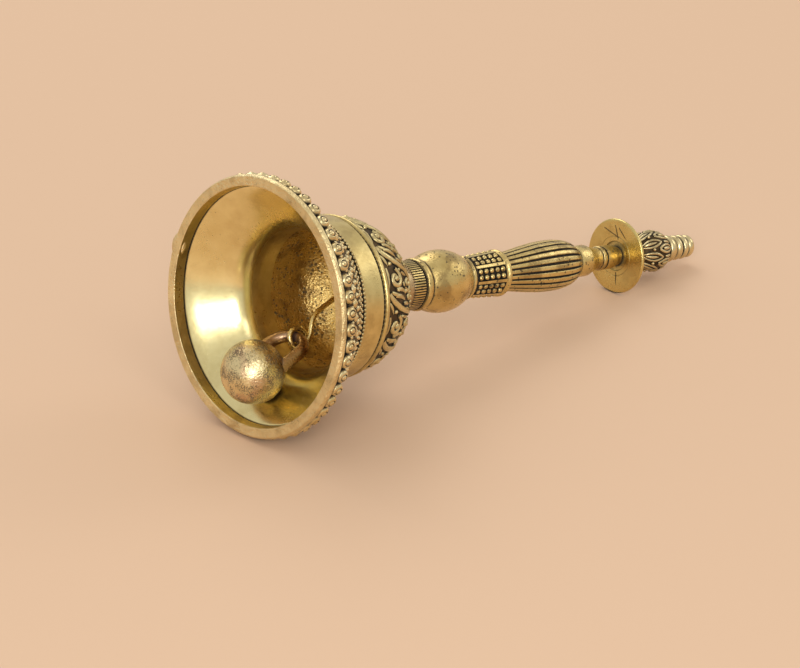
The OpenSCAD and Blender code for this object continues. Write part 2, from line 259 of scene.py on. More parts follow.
# %% Mix the brasses
def old_brass(name, bright, deep, dirt_and_shade_colour, reach=1.4, soot_shade_from=0.84, soot_shade_to=0.56, rough=0.3,
              rough_spread=0.18, pits=0.35, pit_scale=900, grain=0.1, stain=0.25,
              stain_colour=(0.24, 0.15, 0.06)):
    """Brass that is bright on its highs and dark in its hollows, with dirt and painted shade."""
    made = bpy.data.materials.new(name)
    made.use_nodes = True
    tree = made.node_tree
    shader = tree.nodes["Principled BSDF"]
    coords = add_node(tree, "ShaderNodeTexCoord", -1100, 0).outputs["Object"]
    broad = noise(tree, coords, 55, 3, 500)
    blotch = noise(tree, coords, 260, 5, 250)
    fine = noise(tree, coords, 1500, 4, 0)
    pit = pits_in(tree, coords, blotch, pits, pit_scale)
    # The soot mask is dirt and painted shade: it darkens the base colour wherever ambient occlusion finds a
    # hollow.
    soot_and_shade = soot_and_shade_in(tree, blotch, pit, reach, soot_shade_from, soot_shade_to)
    metal = clean_metal(tree, coords, broad, blotch, bright, deep, stain, stain_colour)
    tree.links.new(blend_colours(tree, soot_and_shade, metal, dirt_and_shade_colour, -50, 400), shader.inputs["Base Color"])
    tree.links.new(between(tree, soot_and_shade, 0, 1, 1, 0.25, -50, 150), shader.inputs["Metallic"])
    tree.links.new(satin_in(tree, fine, broad, soot_and_shade, rough, rough_spread), shader.inputs["Roughness"])
    tree.links.new(cast_grain(tree, fine, blotch, pit, grain), shader.inputs["Normal"])
    return made


# SOOT_AND_SHADE is the colour of the darkened hollows, dirt and painted shade at once.
YELLOW, OCHRE, SOOT_AND_SHADE = (0.80, 0.64, 0.28), (0.52, 0.38, 0.14), (0.022, 0.016, 0.010)
COPPER = (0.58, 0.34, 0.21)
brass = {
    "cup": old_brass("cup_satin_brass", YELLOW, OCHRE, SOOT_AND_SHADE, reach=1.0, rough=0.34, pits=0.2),
    "beads": old_brass("bead_worn_brass", (0.90, 0.76, 0.44), (0.62, 0.46, 0.20), SOOT_AND_SHADE, rough=0.26,
                       stain=0.1),
    "carving": old_brass("carving_brass", (0.80, 0.66, 0.33), (0.50, 0.38, 0.16), SOOT_AND_SHADE, rough=0.34),
    "bed": old_brass("hollow_patina", (0.12, 0.08, 0.04), (0.035, 0.025, 0.014), SOOT_AND_SHADE, rough=0.55, pits=0.6),
    "rim": old_brass("rim_granular_brass", (0.95, 0.79, 0.44), (0.68, 0.52, 0.25), (0.16, 0.09, 0.035),
                     reach=0.8, rough=0.34, pits=0.45, pit_scale=2600, grain=0.7, stain=0.2),
    "cone": old_brass("cone_polished_brass", (0.90, 0.79, 0.42), (0.76, 0.63, 0.29), SOOT_AND_SHADE, reach=0.6,
                      rough=0.23, rough_spread=0.1, pits=0.2, grain=0.02, stain=0.12,
                      stain_colour=(0.50, 0.34, 0.12)),
    "dome": old_brass("dome_rough_cast", (0.88, 0.66, 0.26), (0.50, 0.33, 0.11), SOOT_AND_SHADE, rough=0.3, pits=0.75,
                      grain=0.7, stain=0.6),
    "handle": old_brass("handle_worn_brass", (0.81, 0.62, 0.26), (0.52, 0.37, 0.13), SOOT_AND_SHADE, reach=1.3,
                        rough=0.31, soot_shade_from=0.88, soot_shade_to=0.66, pits=0.62, grain=0.22, stain=0.5),
    "collar": old_brass("collar_rough_cast", (0.66, 0.50, 0.27), (0.42, 0.28, 0.14), SOOT_AND_SHADE, rough=0.4,
                        pits=0.7, grain=0.3, stain=0.6),
    # The disc's longer reach of 1.6 mm paints the shadow round the stem into its colour, with the dirt there.
    "disc": old_brass("disc_satin_brass", (0.78, 0.62, 0.24), (0.62, 0.46, 0.16), SOOT_AND_SHADE, reach=1.6, rough=0.27,
                      pits=0.2, stain=0.2),
    "finial": old_brass("finial_brass", (0.82, 0.68, 0.38), (0.48, 0.36, 0.16), SOOT_AND_SHADE, reach=1.1, rough=0.28,
                        soot_shade_from=0.88, soot_shade_to=0.62),
    "ball": old_brass("ball_speckled_brass", (0.88, 0.74, 0.42), (0.68, 0.52, 0.26), (0.06, 0.034, 0.02),
                      rough=0.33, pits=1.2, pit_scale=3000, grain=0.4, stain=0.5, stain_colour=COPPER),
    "loop": old_brass("loop_red_bronze", (0.56, 0.37, 0.22), (0.32, 0.18, 0.10), (0.05, 0.02, 0.012),
                      rough=0.3, pits=0.3, grain=0.15, stain=0.3),
    "wire": old_brass("wire_brass", (0.84, 0.66, 0.30), (0.56, 0.40, 0.16), SOOT_AND_SHADE, reach=0.25, rough=0.28,
                      pits=0.2),
}
print("materials:", sorted(brass))

# %% [markdown]
# Almost every piece of this bell is turned, so the first tool is a lathe. An outline is a chain of
# points in the half plane beside the axis. One vertex is drawn, extruded from point to point and
# spun round the axis. Merging the doubles closes the seam and the poles, and the normals are then
# made to point outwards, because spin can turn a shape inside out. Adding a Screw modifier would
# turn the same shape, but the operators leave a plain mesh that can be carved at once.

# %% Build the lathe
def deselect_all():
    """Nothing selected, so an operator acts only on what is chosen next."""
    bpy.ops.object.select_all(action="DESELECT")


def only(obj):
    """Selects one object and makes it the active one."""
    deselect_all()
    obj.select_set(True)
    bpy.context.view_layer.objects.active = obj
    return obj


WELD = 0.004


def on_the_lathe(name, outline, steps):
    """A turned piece, upright. The outline is [(radius, height)] in millimetres."""
    deselect_all()
    bpy.ops.mesh.primitive_plane_add(size=MM)
    obj = bpy.context.object
    obj.name = name
    bpy.ops.object.mode_set(mode="EDIT")
    bpy.ops.mesh.merge(type="CENTER")
    bpy.ops.transform.translate(value=(outline[0][0] * MM, 0, outline[0][1] * MM))
    for (r0, z0), (r1, z1) in zip(outline, outline[1:]):
        step = ((r1 - r0) * MM, 0, (z1 - z0) * MM)
        bpy.ops.mesh.extrude_region_move(TRANSFORM_OT_translate={"value": step})
    bpy.ops.mesh.select_all(action="SELECT")
    bpy.ops.mesh.spin(steps=steps, angle=math.tau, center=(0, 0, 0), axis=(0, 0, 1))
    bpy.ops.mesh.select_all(action="SELECT")
    bpy.ops.mesh.remove_doubles(threshold=WELD * MM)
    bpy.ops.mesh.normals_make_consistent(inside=False)
    bpy.ops.object.mode_set(mode="OBJECT")
    return obj


def arc(centre, size, start, end, steps):
    """Points of an arc in the outline's half plane, with angles in degrees."""
    turn = [math.radians(start + (end - start) * i / steps) for i in range(steps + 1)]
    return [(centre[0] + size[0] * math.cos(a), centre[1] + size[1] * math.sin(a)) for a in turn]


def smooth(obj, angle=40):
    """Rounds the shading, but keeps edges sharper than the angle crisp."""
    only(obj)
    bpy.ops.object.shade_smooth_by_angle(angle=math.radians(angle))
    return obj


print("lathe ready, doubles closer than", WELD, "mm are merged")

# %% [markdown]
# A finished piece needs four things: its brass, its place in the mesh, the body it rides on and the
# slot of its material. One function does them all. Small repeated shapes are modelled once, and each
# copy gets a mesh of its own before the copies of a row are joined.

# %% Build the tools that finish and repeat a piece
def put(obj, matrix):
    """Moves a piece to its place and writes the place into its mesh."""
    only(obj)
    obj.matrix_world = matrix @ obj.matrix_world
    bpy.ops.object.transform_apply(location=True, rotation=True, scale=True)
    return obj


def finish_piece(obj, place, material, body, nodes=(), patches=()):
    """Paints a piece, lays it down and says which body it rides on. A patch is (material, chosen)."""
    obj.data.materials.clear()
    obj.data.materials.append(brass[material])
    for patch, chosen in patches:
        obj.data.materials.append(brass[patch])
        for face in obj.data.polygons:
            if chosen(math.hypot(face.center.x, face.center.y) / MM, face.center.z / MM,
                      math.atan2(face.center.y, face.center.x)):
                face.material_index = len(obj.data.materials) - 1
    put(obj, place)
    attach(obj, body)
    if nodes:
        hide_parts(*nodes)
    print(obj.name, len(obj.data.polygons), "faces")
    return obj


def copy_of(obj, name):
    """A copy with its own mesh."""
    twin = obj.copy()
    twin.data = obj.data.copy()
    twin.name = name
    bpy.context.collection.objects.link(twin)
    return twin


def joined(name, objs):
    """Several loose copies as one piece."""
    only(objs[0])
    for obj in objs[1:]:
        obj.select_set(True)
    bpy.ops.object.join()
    objs[0].name = name
    return objs[0]


def ring_of(seed, name, count, radius, height, first=0.0, lean=0.0):
    """Copies of a small shape in a ring. The seed's own Z points outwards, and its X along the bell."""
    step = math.tau / count
    twins = []
    turned_out = Matrix.Rotation(math.pi / 2 - lean, 4, "Y")
    place = Matrix.Translation((radius * MM, 0, height * MM)) @ turned_out
    for i in range(count):
        spin = Matrix.Rotation(first + step * i, 4, "Z")
        twin = copy_of(seed, f"{name}_{i}")
        twin.data.transform(spin @ place)
        twins.append(twin)
    bpy.data.objects.remove(seed)
    return joined(name, twins)


print("brasses to paint with:", len(brass))

# %% [markdown]
# The cup is one casting that was turned inside. Its lip is a flat ring with a worn outer edge, then
# a short wall, an undercut line, a polished cone and a dark rough dome. Outside, the flare carries
# the beads, and a smooth waist band and a ridge come before the carved shoulder. The shell is
# turned whole, from the crown's bore out over the crown, down to the lip and up the inside.

# %% Turn the cup
LIP_R, LIP_FACE_R, MOUTH_R = 36.3, 35.8, 33.2
WAIST_R, WAIST_IN_R, CUP_H, CUP_STEPS = 22.9, 19.7, 49, 400
BEAD_COUNT, BEAD_RING_R, BEAD_Z = 50, 34.5, 3.2
ROPE_Z, ROPE_R = 19.5, 24.0
RIDGE_Z, SHOULDER_BED_R, SHOULDER_BED_H = 29.9, 21.6, 19.6
cup_outline = (
    [(2.2, CUP_H), (8.8, CUP_H)]
    + arc((0, RIDGE_Z), (SHOULDER_BED_R, SHOULDER_BED_H), 66, 2, 24)
    + [(SHOULDER_BED_R, 30.3), (22.5, 30.1)]
    + arc((22.3, 29.3), (0.6, 0.6), 60, -60, 6)
    + [(22.35, 28.5), (22.3, 27.95), (22.6, 27.7), (WAIST_R, 27.4), (WAIST_R, 25.2), (WAIST_R - 0.05, 23),
       (WAIST_R, 20.9), (22.7, 20.6), (23.0, 20.3), (23.3, 20.2), (23.3, 18.8), (23.7, 18.4)]
    + [(24.6, 17.4), (25.8, 15.9), (27.1, 14.2), (28.4, 12.3), (29.8, 10.2), (31.2, 8.1), (32.5, 6.2),
       (33.2, 5.0), (33.4, 3.4), (34.0, 2.2), (35.9, 1.75)]
    + [(LIP_R, 1.3), (LIP_R + 0.02, 0.9), (LIP_R - 0.08, 0.45), (LIP_FACE_R + 0.12, 0.14), (LIP_FACE_R, 0.02),
       (LIP_FACE_R - 0.5, 0), (34.5, 0.05), (33.7, 0), (MOUTH_R + 0.12, 0.04), (MOUTH_R, 0.16)]
    + [(33.05, 1.6), (32.9, 3.1), (33.2, 3.3), (33.25, 3.5), (32.7, 3.62), (32.4, 3.8)]
    + [(30.2, 5.8), (28.0, 7.79), (25.8, 9.79)]
    + arc((31.6, 20.6), (11.9, 11.9), 227.7, 184, 14)
    + [(WAIST_IN_R, 24), (WAIST_IN_R, 28), (WAIST_IN_R, 32.5)]
    + arc((0, 33), (WAIST_IN_R, 12.3), 6, 84, 14)
    + [(1.9, 45.3)]
)
cup = on_the_lathe("cup_shell", cup_outline, CUP_STEPS)
print("cup outline points:", len(cup_outline))

# %% [markdown]
# Beside the ridge runs a groove that the caster dashed. The groove is in the outline already, so the
# dashes only need some of its vertices pushed in. Scaling them about the axis does that, and the
# same function presses the ribs and flutes of the handle later.

# %% Press the dashes beside the ridge
def scale_some(obj, chosen, share):
    """Scales the chosen vertices about the bell's axis, which pushes a line into a turned wall."""
    only(obj)
    bpy.ops.object.mode_set(mode="EDIT")
    bpy.ops.mesh.select_all(action="DESELECT")
    bpy.ops.object.mode_set(mode="OBJECT")
    for vertex in obj.data.vertices:
        vertex.select = chosen(math.hypot(vertex.co.x, vertex.co.y) / MM, vertex.co.z / MM,
                               math.atan2(vertex.co.y, vertex.co.x))
    bpy.ops.object.mode_set(mode="EDIT")
    bpy.ops.transform.resize(value=(share, share, 1), center_override=(0, 0, 0))
    bpy.ops.object.mode_set(mode="OBJECT")


DASHES, DASH_DEPTH = 100, 0.978
GROOVE_FROM, GROOVE_TO = 27.8, 28.6


def in_a_dash(r, z, a):
    """The pressed part of each dash round the groove beside the ridge."""
    return GROOVE_FROM < z < GROOVE_TO and 22 < r < 22.6 and math.sin(a * DASHES) > -0.2


scale_some(cup, in_a_dash, DASH_DEPTH)
smooth(cup, 35)
print("dashes:", DASHES)

# %% [markdown]
# The cup is one casting with several faces, so it stays one piece and its faces choose their brass
# by place. The radius tells the outside from the inside at the same height. The bed of the carving
# is found by its own ellipse, which keeps the dome inside the crown out of it.

# %% Paint the cup by places
def outside(r, z):
    """Tells the cup's outside from its inside at the same height."""
    return r > max(22.2, 32.9 - 1.1 * (z - 3.8))


def on_the_shoulder(r, z):
    """The bed of the carving: near its ellipse, and above the ridge."""
    distance = math.hypot(r / SHOULDER_BED_R, (z - RIDGE_Z) / SHOULDER_BED_H)
    return z > RIDGE_Z + 0.4 and r > 8.7 and distance > 0.97


RIM_H, FLARE_TOP, CONE_FROM, CONE_TO, DOME_FROM, DOME_TO = 1.7, 15.5, 3.7, 17, 24, 46
cup_patches = [
    ("rim", lambda r, z, a: z < RIM_H and (r > MOUTH_R + 0.05 or z < 0.2)),
    ("bed", lambda r, z, a: RIM_H + 0.2 < z < FLARE_TOP and outside(r, z)),
    ("bed", lambda r, z, a: on_the_shoulder(r, z)),
    ("cone", lambda r, z, a: CONE_FROM < z < CONE_TO and not outside(r, z)),
    ("dome", lambda r, z, a: DOME_FROM < z < DOME_TO and r < WAIST_IN_R + 0.2 and not on_the_shoulder(r, z)),
]
finish_piece(cup, LAY, "cup", "bell", ["bell_cup"], cup_patches)

# %% [markdown]
# Behind the lip stands a row of large beads. Each is a small rosette: a round boss with a groove
# round a middle grain. One rosette is turned and fifty copies are set round the flare. Drawing them
# as bumps would be quicker, but their edges show against the table, so they are real shapes.

# %% Set the large beads behind the lip
rosette_outline = [(0, 2.26), (0.4, 2.2), (0.72, 2.08), (0.86, 1.72), (1.0, 1.66), (1.16, 1.9), (1.42, 1.86),
                   (1.75, 1.52), (2.05, 0.95), (2.2, 0.2), (2.15, -0.6), (1.7, -1.5)]
rosette = on_the_lathe("rosette", rosette_outline, 20)
rosette.data.transform(Matrix.Diagonal((1.02, 0.96, 1, 1)))
bead_row = ring_of(rosette, "bead_row", BEAD_COUNT, BEAD_RING_R, BEAD_Z + 0.15,
                   first=-math.pi / 2 + math.pi / BEAD_COUNT, lean=math.radians(6))
smooth(bead_row, 60)
finish_piece(bead_row, LAY, "beads", "bell")

# %% [markdown]
# The flare behind the large beads is packed with smaller rows: knobs with a grain in the middle,
# drops and several rows of grains, each set in the gaps of its neighbour. Each row is one turned
# seed and its copies. The table gives a row's outline, lathe steps, count, radius, height and the
# share of a step by which it is shifted.

# %% Fill the flare with small rows
FLARE_LEAN = math.radians(44)
flare_rows = [
    ("knob_row", [(0, 1.15), (0.3, 1.1), (0.5, 0.9), (0.62, 0.72), (0.76, 0.86), (1.0, 0.82), (1.3, 0.45),
                  (1.42, 0), (1.3, -0.6)], 14, BEAD_COUNT, 30.15, 9.7, 0.0),
    ("drop_row", [(0, 0.85), (0.45, 0.75), (0.8, 0.42), (0.95, 0), (0.8, -0.5)],
     10, BEAD_COUNT, 28.1, 12.5, 0.5),
    ("low_grain_row", [(0, 0.7), (0.35, 0.6), (0.55, 0.2), (0.5, -0.4)], 8, 2 * BEAD_COUNT, 32.2, 6.9, 0.5),
    ("high_grain_row", [(0, 0.7), (0.38, 0.6), (0.6, 0.2), (0.55, -0.4)], 8, 2 * BEAD_COUNT, 26.7, 14.5, 0.0),
    ("crumb_row", [(0, 0.6), (0.35, 0.5), (0.6, 0.15), (0.55, -0.4)], 8, 2 * BEAD_COUNT, 25.5, 16.1, 0.5),
    ("last_crumb_row", [(0, 0.55), (0.35, 0.45), (0.6, 0.1), (0.55, -0.4)],
     8, 2 * BEAD_COUNT, 24.3, 17.7, 0.0),
]
for row_name, seed_outline, seed_steps, count, row_r, row_z, shift in flare_rows:
    seed = on_the_lathe("seed", seed_outline, seed_steps)
    row_start = -math.pi / 2 + shift * math.tau / count
    row = ring_of(seed, row_name, count, row_r, row_z, first=row_start, lean=FLARE_LEAN)
    smooth(row, 60)
    finish_piece(row, LAY, "beads", "bell")

# %% [markdown]
# A rope of fine grains closes the flare at the waist band. It is one grain again, set so close that
# the copies nearly touch, as a twisted wire laid in the mould would leave them.

# %% Lay the rope of grains
ROPE_COUNT = 132
grain = on_the_lathe("grain", [(0, 0.55), (0.3, 0.48), (0.48, 0.2), (0.5, 0), (0.4, -0.4)], 8)
rope_row = ring_of(grain, "rope_row", ROPE_COUNT, ROPE_R - 0.35, ROPE_Z, lean=math.radians(10))
smooth(rope_row, 60)
finish_piece(rope_row, LAY, "carving", "bell")

# %% [markdown]
# A little nib of metal is left on the lip, where the mould was filled. It is a squashed ball sunk
# into the lip, so that only a low swelling shows, with the same granular brass.

# %% Leave the casting nib on the lip
NIB_TURN, NIB_R, NIB_Z = math.radians(12), 35.2, 1.3
NIB_SIZE = (2.5, 3.8, 1.25)
deselect_all()
bpy.ops.mesh.primitive_uv_sphere_add(segments=32, ring_count=16, radius=MM)
nib = bpy.context.object
nib.name = "casting_nib"
put(nib, Matrix.Rotation(NIB_TURN, 4, "Z") @ Matrix.Translation((NIB_R * MM, 0, NIB_Z * MM))
    @ Matrix.Diagonal((*NIB_SIZE, 1)))
smooth(nib, 60)
finish_piece(nib, LAY, "rim", "bell")

# %% [markdown]
# The shoulder is carved with a running scroll. It is easiest to model one scroll flat, as a plate of
# curled ribs, leaf lobes and grains, and then to roll copies round the shoulder: the flat sideways
# distance becomes an angle, and the height above the plate becomes radius. The ribs are curves with
# a round bevel, made a mesh before they are rolled.

# %% Make the carver's ribs, scrolls, leaves and grains
def rib(points, thick, ends=0.55):
    """A tapered rib through five or more points (sideways, along) in millimetres, as a mesh."""
    deselect_all()
    bpy.ops.curve.primitive_nurbs_path_add()
    obj = bpy.context.object
    spline = obj.data.splines[0]
    spline.points.add(len(points) - len(spline.points))
    for i, (point, (u, v)) in enumerate(zip(spline.points, points)):
        point.co = (u * MM, v * MM, 0, 1)
        point.radius = ends + (1 - ends) * math.sin(math.pi * min(1, 0.2 + 0.8 * i / (len(points) - 1)))
    spline.use_endpoint_u = True
    obj.data.bevel_depth = thick * MM
    obj.data.bevel_resolution = 2
    obj.data.use_fill_caps = True
    obj.data.resolution_u = 3
    bpy.ops.object.convert(target="MESH")
    return bpy.context.object


def scroll(centre, size, start, turns, thick):
    """A spiral rib that winds in towards its centre."""
    count = 13
    points = []
    for i in range(count):
        share = i / (count - 1)
        a = math.radians(start) + turns * math.tau * share
        r = size * (1 - 0.82 * share)
        points.append((centre[0] + r * math.cos(a), centre[1] + r * math.sin(a)))
    return rib(points, thick)


def leaf(root, tip, bow, thick):
    """A bowed leaf from its root to its tip, fat in the middle and thin at both ends."""
    points = []
    for i in range(5):
        share = i / 4
        side = bow * math.sin(math.pi * share)
        points.append((root[0] + (tip[0] - root[0]) * share + side,
                       root[1] + (tip[1] - root[1]) * share - side * 0.4))
    return rib(points, thick, 0.12)


def lobe(centre, size, height=0.9):
    """One grain: a squashed ball."""
    deselect_all()
    bpy.ops.mesh.primitive_uv_sphere_add(segments=12, ring_count=8, radius=MM)
    obj = bpy.context.object
    place = Matrix.Translation((centre[0] * MM, centre[1] * MM, 0))
    put(obj, place @ Matrix.Diagonal((size, size, height, 1)))
    return obj


print("carver's strokes ready")

# %% [markdown]
# One motif is a long stem that climbs the shoulder, three scrolls that wind in to a grain, and leaves
# in every gap. The dark ground between them must stay narrow, so the leaves are many and fat.

# %% Draw one motif flat
motif_parts = [
    rib([(-7.0, 0.5), (-5.4, 1.5), (-3.6, 3.6), (-2.0, 6.6), (-0.8, 10.0), (0.6, 13.6), (2.8, 17.0),
         (6.0, 19.6)], 1.0),
    scroll((2.5, 4.3), 3.1, 165, -1.2, 0.82), lobe((2.5, 4.3), 1.0, 1.15),
    scroll((4.2, 11.4), 2.9, -70, 1.2, 0.82), lobe((4.2, 11.4), 1.0, 1.15),
    scroll((-4.9, 12.6), 2.3, 60, 1.0, 0.75), lobe((-4.9, 12.6), 0.85, 1.1),
    leaf((-0.6, 1.0), (5.6, 0.9), -0.5, 0.8), leaf((6.2, 1.6), (7.2, 6.4), 0.5, 0.85),
    leaf((-6.2, 3.0), (-4.2, 8.6), -0.8, 0.95), leaf((-8.0, 3.8), (-6.3, 9.4), -0.8, 0.9),
    leaf((-3.6, 7.4), (-2.0, 12.2), -0.5, 0.8), leaf((-1.4, 13.4), (1.6, 18.6), -0.7, 0.95),
    leaf((-4.6, 15.6), (-1.0, 20.6), -0.8, 1.0), leaf((-7.6, 15.0), (-5.0, 20.6), -0.8, 1.0),
    leaf((0.4, 8.2), (1.4, 12.6), 0.5, 0.7), leaf((1.0, 18.8), (3.6, 22.6), -0.5, 0.95),
    leaf((4.6, 14.8), (6.6, 18.4), 0.5, 0.8),
    lobe((6.4, 8.6), 0.8), lobe((-1.8, 3.2), 0.65), lobe((0.0, 6.6), 0.6),
    leaf((-4.4, 0.5), (-1.2, 2.6), -0.3, 0.75), leaf((3.6, 8.0), (6.0, 9.0), -0.3, 0.7),
    leaf((2.2, 14.2), (4.4, 17.6), -0.5, 0.85), leaf((-1.6, 9.4), (-0.2, 13.0), -0.4, 0.7),
    lobe((-6.6, 11.4), 0.6), lobe((7.1, 13.6), 0.75), lobe((-2.9, 14.2), 0.65), lobe((5.8, 4.6), 0.6),
]
motif = joined("scroll_motif", motif_parts)
print("parts in a motif:", len(motif_parts))

# %% [markdown]
# To roll the flat motif round the shoulder, each vertex needs the bed's point and outward direction
# at its height. They are found by stepping along the ellipse until the length is used up. A lattice
# could bend the plate too, but it would thin the ribs where the shoulder narrows.

# %% Roll the motif round the shoulder
def surface_at(length, bed):
    """The point and the outward direction at a length up a round bed, in millimetres."""
    size_r, size_z, centre_z, start = bed
    a, step, left = math.radians(start), 0.01, length
    while left > 0:
        left -= step * math.hypot(size_r * math.sin(a), size_z * math.cos(a))
        a += step
    out_r, out_z = math.cos(a) / size_r, math.sin(a) / size_z
    size = math.hypot(out_r, out_z)
    return (size_r * math.cos(a), centre_z + size_z * math.sin(a)), (out_r / size, out_z / size)


def rolled_round(name, motif, count, bed):
    """Copies of a flat carving, rolled up a round bed and round the bell's axis, as one piece."""
    rolled = []
    for i in range(count):
        twin = copy_of(motif, f"{name}_{i}")
        for vertex in twin.data.vertices:
            (r, z), (out_r, out_z) = surface_at(max(0, vertex.co.y / MM), bed)
            rise = max(-0.3, vertex.co.z / MM)
            a = math.tau * i / count + vertex.co.x / (bed[0] * MM)
            r, z = (r + out_r * rise) * MM, (z + out_z * rise) * MM
            vertex.co = (r * math.cos(a), r * math.sin(a), z)
        rolled.append(twin)
    bpy.data.objects.remove(motif)
    piece = joined(name, rolled)
    only(piece)
    bpy.ops.object.mode_set(mode="EDIT")
    bpy.ops.mesh.select_all(action="SELECT")
    bpy.ops.mesh.normals_make_consistent(inside=False)
    bpy.ops.object.mode_set(mode="OBJECT")
    return smooth(piece, 70)


MOTIFS = 10
SHOULDER_BED = (SHOULDER_BED_R, SHOULDER_BED_H, RIDGE_Z, 0)
carving = rolled_round("shoulder_carving", motif, MOTIFS, SHOULDER_BED)
finish_piece(carving, LAY, "carving", "bell")

# %% [markdown]
# The handle is a stack of turned castings on a rod. Each outline keeps the stations of the exact
# part and adds the small steps, and each carved line is pressed in by scaling rows of vertices about
# the axis. The collar's ribs, the sleeve's panels and the grip's flutes are all made so. The collar
# comes first: a rough foot on the crown, a belt of fine ribs and a smooth ring.

# %% Turn the collar
BULB_Z, SLEEVE_Z, GRIP_Z, STEM_Z, DISC_Z, BUD_Z, TIP_Z = 62, 78.2, 93.4, 124, 142.6, 143.7, 163.7
COLLAR_RIBS, RIBS_FROM, RIBS_TO, RIB_DEPTH = 58, 54.5, 58.6, 0.94


def ridged(outline_part, steps):
    """Splits each straight run of an outline into equal steps, so that it can be carved."""
    points = [outline_part[0]]
    for (r0, z0), (r1, z1) in zip(outline_part, outline_part[1:]):
        points += [(r0 + (r1 - r0) * i / steps, z0 + (z1 - z0) * i / steps) for i in range(1, steps + 1)]
    return points


collar_outline = ([(0, CUP_H - 0.4), (8.4, CUP_H), (8.5, 50.0), (7.2, 50.9)]
                  + ridged([(6.9, 51.4), (6.75, 54.3)], 3)
                  + ridged([(7.1, 54.6), (7.15, 58.5)], 2)
                  + [(6.5, 58.8), (6.5, 59.0), (7.3, 59.3)] + arc((6.6, 60.5), (1.0, 1.2), 60, -60, 6)[::-1]
                  + [(6.9, 61.8), (6.6, BULB_Z), (0, BULB_Z)])
collar = on_the_lathe("neck_collar_ribbed", collar_outline, 4 * COLLAR_RIBS)
scale_some(collar, lambda r, z, a: RIBS_FROM < z < RIBS_TO and math.cos(a * COLLAR_RIBS) < -0.4, RIB_DEPTH)
smooth(collar, 35)
finish_piece(collar, LAY, "handle", "bell", ["neck_collar"],
             [("collar", lambda r, z, a: z < RIBS_FROM)])

# %% [markdown]
# The bulb is the plainest casting, so its skin has to carry it: the arc of a barrel between two
# small steps, and brass with many pits.

# %% Turn the bulb
bulb_outline = ([(0, BULB_Z), (6.6, BULB_Z), (6.85, 62.2)] + arc((-5.0, 69.6), (14.0, 14.0), -31, 33, 20)
                + [(6.3, 77.9), (6.1, SLEEVE_Z), (0, SLEEVE_Z)])
bulb = on_the_lathe("bulb_barrel", bulb_outline, 128)
smooth(bulb, 35)
finish_piece(bulb, LAY, "handle", "bell", ["handle_bulb"])

# %% [markdown]
# The sleeve has two end rings and eight long ribs. Between the ribs the panels are sunk, and each
# holds two columns of five round beads. The beads are one small dome, copied.

# %% Turn the sleeve and bead its panels
PANELS, PANEL_FROM, PANEL_TO = 8, 80.5, 91.2
BEADS_UP, FIRST_BEAD_Z, BEAD_STEP, BEAD_TURN = 5, 81.6, 2.12, math.radians(9.2)
sleeve_outline = ([(0, SLEEVE_Z), (6.0, SLEEVE_Z)] + arc((5.9, 79.0), (0.5, 0.6), -50, 50, 5)
                  + [(5.6, 79.8), (5.6, 80.1), (6.0, 80.3)] + ridged([(6.0, PANEL_FROM), (6.65, PANEL_TO)], 8)
                  + [(6.3, 91.4), (6.3, 91.7)] + arc((6.1, 92.6), (0.75, 0.75), -60, 60, 6)
                  + [(6.2, GRIP_Z), (0, GRIP_Z)])
sleeve = on_the_lathe("sleeve_panelled", sleeve_outline, 192)
scale_some(sleeve, lambda r, z, a: PANEL_FROM - 0.1 < z < PANEL_TO + 0.1 and r > 5.7
           and math.cos(a * PANELS) < 0.72, 0.86)
smooth(sleeve, 35)
finish_piece(sleeve, LAY, "handle", "bell", ["bead_sleeve"],
             [("bed", lambda r, z, a: PANEL_FROM < z < PANEL_TO and 4.5 < r < 5.95)])

sleeve_dome = on_the_lathe("sleeve_dome", [(0, 1.0), (0.45, 0.88), (0.8, 0.5), (0.92, 0), (0.8, -0.4)], 12)
columns = []
for row in range(BEADS_UP):
    for side in (-1, 1):
        twin = copy_of(sleeve_dome, f"sleeve_bead_{row}_{side}")
        ring = ring_of(twin, f"sleeve_ring_{row}_{side}", PANELS, 5.25 + 0.13 * row,
                       FIRST_BEAD_Z + BEAD_STEP * row, first=math.pi / PANELS + side * BEAD_TURN)
        columns.append(ring)
bpy.data.objects.remove(sleeve_dome)
sleeve_beads = joined("sleeve_beads", columns)
smooth(sleeve_beads, 60)
finish_piece(sleeve_beads, LAY, "handle", "bell")

# %% [markdown]
# The grip swells slowly towards the finial and closes quickly, with flutes from end to end. A row of
# vertices on every flute line is scaled in, and the ends of the flutes run out before the grip does,
# so that its ribs end like petals.

# %% Turn the grip and press its flutes
FLUTES, GRIP_ROWS = 22, 44
GRIP_START_R, GRIP_MAX_R, GRIP_END_R, GRIP_WIDEST = 5.4, 7.45, 4.0, 0.66


def grip_radius(t):
    """Radius of the grip at a share of its length."""
    if t < GRIP_WIDEST:
        return GRIP_START_R + (GRIP_MAX_R - GRIP_START_R) * math.sin(math.pi / 2 * t / GRIP_WIDEST) ** 1.3
    drop = ((t - GRIP_WIDEST) / (1 - GRIP_WIDEST)) ** 2.2
    return GRIP_END_R + (GRIP_MAX_R - GRIP_END_R) * math.sqrt(max(0, 1 - drop))


grip_outline = [(0, GRIP_Z)]
for i in range(GRIP_ROWS + 1):
    grip_outline.append((grip_radius(i / GRIP_ROWS), GRIP_Z + (STEM_Z - GRIP_Z) * i / GRIP_ROWS))
grip_outline.append((0, STEM_Z))
grip = on_the_lathe("grip_fluted", grip_outline, FLUTES * 12)


def flute_bottom(r, z, a):
    """The middle row of vertices of each flute."""
    return GRIP_Z + 0.5 < z < STEM_Z - 0.9 and r > 2 and math.cos(a * FLUTES) < -0.75


def flute_side(r, z, a):
    """The rows beside the middle one, which start and end a little further out."""
    return GRIP_Z + 0.3 < z < STEM_Z - 0.5 and r > 2 and -0.75 < math.cos(a * FLUTES) < -0.3


